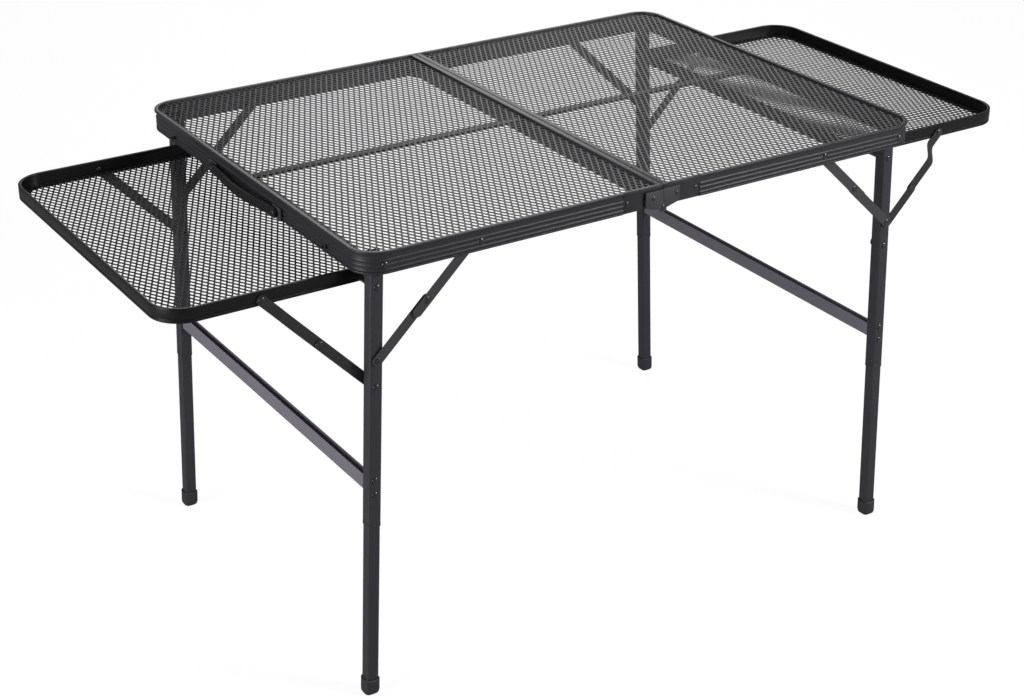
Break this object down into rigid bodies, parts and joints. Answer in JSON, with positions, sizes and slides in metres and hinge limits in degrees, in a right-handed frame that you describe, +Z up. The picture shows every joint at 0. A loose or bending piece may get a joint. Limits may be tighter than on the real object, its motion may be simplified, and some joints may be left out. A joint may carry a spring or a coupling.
{
  "type": "folding camping table",
  "caption": "Folding camping table with an expanded-mesh top in hinged halves, lower mesh wings at both ends and splayed telescoping legs held by folding braces.",
  "frame": {"origin": "on the floor under the middle of the table", "axes": "+X along the length from the handle end to the clasp end, +Y to the back, +Z up"},
  "size_m": [1.249, 0.6054, 0.6],
  "materials": {
    "rim_paint": "satin charcoal",
    "mesh_steel": "satin grey",
    "leg_paint": "satin charcoal",
    "wing_paint": "satin black",
    "link_steel": "satin charcoal",
    "black_steel": "gloss black",
    "black_plastic": "matte moulded",
    "strap_rubber": "matte moulded"
  },
  "bodies": {
    "top_left": {"rim_left": "rim_paint", "seam_rail_left": "rim_paint", "centre_bar_left": "rim_paint", "top_mesh_left": "mesh_steel", "hinge_block_left_front": "rim_paint", "hinge_leaf_left_front": "black_steel", "hinge_block_left_back": "rim_paint", "hinge_leaf_left_back": "black_steel", "handle_strap": "strap_rubber", "handle_bracket_front": "black_steel", "handle_bracket_back": "black_steel"},
    "top_right": {"rim_right": "rim_paint", "seam_rail_right": "rim_paint", "centre_bar_right": "rim_paint", "top_mesh_right": "mesh_steel", "hinge_block_right_front": "rim_paint", "hinge_leaf_right_front": "black_steel", "hinge_block_right_back": "rim_paint", "hinge_leaf_right_back": "black_steel"},
    "legs_left": {"upper_leg_left_front": "leg_paint", "upper_leg_left_back": "leg_paint", "collar_left_front": "black_plastic", "collar_left_back": "black_plastic", "crossbar_left": "leg_paint"},
    "lower_leg_left_front": {"lower_leg_left_front": "leg_paint", "foot_left_front": "black_plastic"},
    "lower_leg_left_back": {"lower_leg_left_back": "leg_paint", "foot_left_back": "black_plastic"},
    "wing_left": {"wing_frame_left": "wing_paint", "wing_mesh_left": "mesh_steel"},
    "main_brace_upper_left": {"main_brace_upper_left_front": "link_steel", "main_brace_upper_left_back": "link_steel"},
    "main_brace_lower_left": {"main_brace_lower_left_front": "link_steel", "main_brace_lower_left_back": "link_steel"},
    "wing_brace_upper_left": {"wing_brace_upper_left_front": "link_steel", "wing_brace_upper_left_back": "link_steel"},
    "wing_brace_lower_left": {"wing_brace_lower_left_front": "link_steel", "wing_brace_lower_left_back": "link_steel"},
    "legs_right": {"upper_leg_right_front": "leg_paint", "upper_leg_right_back": "leg_paint", "collar_right_front": "black_plastic", "collar_right_back": "black_plastic", "crossbar_right": "leg_paint"},
    "lower_leg_right_front": {"lower_leg_right_front": "leg_paint", "foot_right_front": "black_plastic"},
    "lower_leg_right_back": {"lower_leg_right_back": "leg_paint", "foot_right_back": "black_plastic"},
    "wing_right": {"wing_frame_right": "wing_paint", "wing_mesh_right": "mesh_steel"},
    "main_brace_upper_right": {"main_brace_upper_right_front": "link_steel", "main_brace_upper_right_back": "link_steel"},
    "main_brace_lower_right": {"main_brace_lower_right_front": "link_steel", "main_brace_lower_right_back": "link_steel"},
    "wing_brace_upper_right": {"wing_brace_upper_right_front": "link_steel", "wing_brace_upper_right_back": "link_steel"},
    "wing_brace_lower_right": {"wing_brace_lower_right_front": "link_steel", "wing_brace_lower_right_back": "link_steel"},
    "clasp_front": {"clasp_front": "black_steel"},
    "clasp_back": {"clasp_back": "black_steel"}
  },
  "joints": [
    {"name": "mid_fold", "type": "hinge", "parent": "top_left", "child": "top_right", "pos_m": [0, 0, 0.5705], "axis": [0, 1, 0], "range_deg": [0, 60]},
    {"name": "leg_fold_left", "type": "hinge", "parent": "top_left", "child": "legs_left", "pos_m": [-0.38, 0, 0.5835], "axis": [0, -1, 0], "range_deg": [0, 92.5]},
    {"name": "leg_slide_left_front", "type": "slide", "parent": "legs_left", "child": "lower_leg_left_front", "axis": [0.0436, 0, 0.999], "range_m": [0, 0.2152]},
    {"name": "leg_slide_left_back", "type": "slide", "parent": "legs_left", "child": "lower_leg_left_back", "axis": [0.0436, 0, 0.999], "range_m": [0, 0.2152]},
    {"name": "wing_fold_left", "type": "hinge", "parent": "legs_left", "child": "wing_left", "pos_m": [-0.38153, 0, 0.54853], "axis": [0, -1, 0], "range_deg": [0, 87.51]},
    {"name": "main_brace_upper_left_turn", "type": "hinge", "parent": "top_left", "child": "main_brace_upper_left", "pos_m": [-0.255, 0, 0.5835], "axis": [0, 1, 0], "range_deg": [0, 43.76]},
    {"name": "main_brace_lower_left_turn", "type": "hinge", "parent": "legs_left", "child": "main_brace_lower_left", "pos_m": [-0.38545, 0, 0.45862], "axis": [0, -1, 0], "range_deg": [0, 43.76]},
    {"name": "wing_brace_upper_left_turn", "type": "hinge", "parent": "wing_left", "child": "wing_brace_upper_left", "pos_m": [-0.50653, 0, 0.54853], "axis": [0, -1, 0], "range_deg": [0, 46.26]},
    {"name": "wing_brace_lower_left_turn", "type": "hinge", "parent": "legs_left", "child": "wing_brace_lower_left", "pos_m": [-0.38698, 0, 0.42365], "axis": [0, 1, 0], "range_deg": [0, 46.26]},
    {"name": "leg_fold_right", "type": "hinge", "parent": "top_right", "child": "legs_right", "pos_m": [0.38, 0, 0.5835], "axis": [0, 1, 0], "range_deg": [0, 92.5]},
    {"name": "leg_slide_right_front", "type": "slide", "parent": "legs_right", "child": "lower_leg_right_front", "axis": [-0.0436, 0, 0.999], "range_m": [0, 0.2152]},
    {"name": "leg_slide_right_back", "type": "slide", "parent": "legs_right", "child": "lower_leg_right_back", "axis": [-0.0436, 0, 0.999], "range_m": [0, 0.2152]},
    {"name": "wing_fold_right", "type": "hinge", "parent": "legs_right", "child": "wing_right", "pos_m": [0.38153, 0, 0.54853], "axis": [0, 1, 0], "range_deg": [0, 87.51]},
    {"name": "main_brace_upper_right_turn", "type": "hinge", "parent": "top_right", "child": "main_brace_upper_right", "pos_m": [0.255, 0, 0.5835], "axis": [0, -1, 0], "range_deg": [0, 43.76]},
    {"name": "main_brace_lower_right_turn", "type": "hinge", "parent": "legs_right", "child": "main_brace_lower_right", "pos_m": [0.38545, 0, 0.45862], "axis": [0, 1, 0], "range_deg": [0, 43.76]},
    {"name": "wing_brace_upper_right_turn", "type": "hinge", "parent": "wing_right", "child": "wing_brace_upper_right", "pos_m": [0.50653, 0, 0.54853], "axis": [0, 1, 0], "range_deg": [0, 46.26]},
    {"name": "wing_brace_lower_right_turn", "type": "hinge", "parent": "legs_right", "child": "wing_brace_lower_right", "pos_m": [0.38698, 0, 0.42365], "axis": [0, -1, 0], "range_deg": [0, 46.26]},
    {"name": "clasp_turn_front", "type": "hinge", "parent": "top_right", "child": "clasp_front", "pos_m": [0.4122, -0.211, 0.578], "axis": [0, 1, 0], "range_deg": [0, 170]},
    {"name": "clasp_turn_back", "type": "hinge", "parent": "top_right", "child": "clasp_back", "pos_m": [0.4122, 0.211, 0.578], "axis": [0, 1, 0], "range_deg": [0, 170]}
  ],
  "couplings": [
    {"joint": "leg_slide_left_front", "follows": "leg_fold_left", "m_per_rad": 0.13317},
    {"joint": "leg_slide_left_back", "follows": "leg_fold_left", "m_per_rad": 0.13317},
    {"joint": "wing_fold_left", "follows": "leg_fold_left", "ratio": 0.94595},
    {"joint": "main_brace_upper_left_turn", "follows": "leg_fold_left", "ratio": 0.47297},
    {"joint": "main_brace_lower_left_turn", "follows": "leg_fold_left", "ratio": 0.47297},
    {"joint": "wing_brace_upper_left_turn", "follows": "leg_fold_left", "ratio": 0.5},
    {"joint": "wing_brace_lower_left_turn", "follows": "leg_fold_left", "ratio": 0.5},
    {"joint": "leg_slide_right_front", "follows": "leg_fold_right", "m_per_rad": 0.13317},
    {"joint": "leg_slide_right_back", "follows": "leg_fold_right", "m_per_rad": 0.13317},
    {"joint": "wing_fold_right", "follows": "leg_fold_right", "ratio": 0.94595},
    {"joint": "main_brace_upper_right_turn", "follows": "leg_fold_right", "ratio": 0.47297},
    {"joint": "main_brace_lower_right_turn", "follows": "leg_fold_right", "ratio": 0.47297},
    {"joint": "wing_brace_upper_right_turn", "follows": "leg_fold_right", "ratio": 0.5},
    {"joint": "wing_brace_lower_right_turn", "follows": "leg_fold_right", "ratio": 0.5}
  ]
}
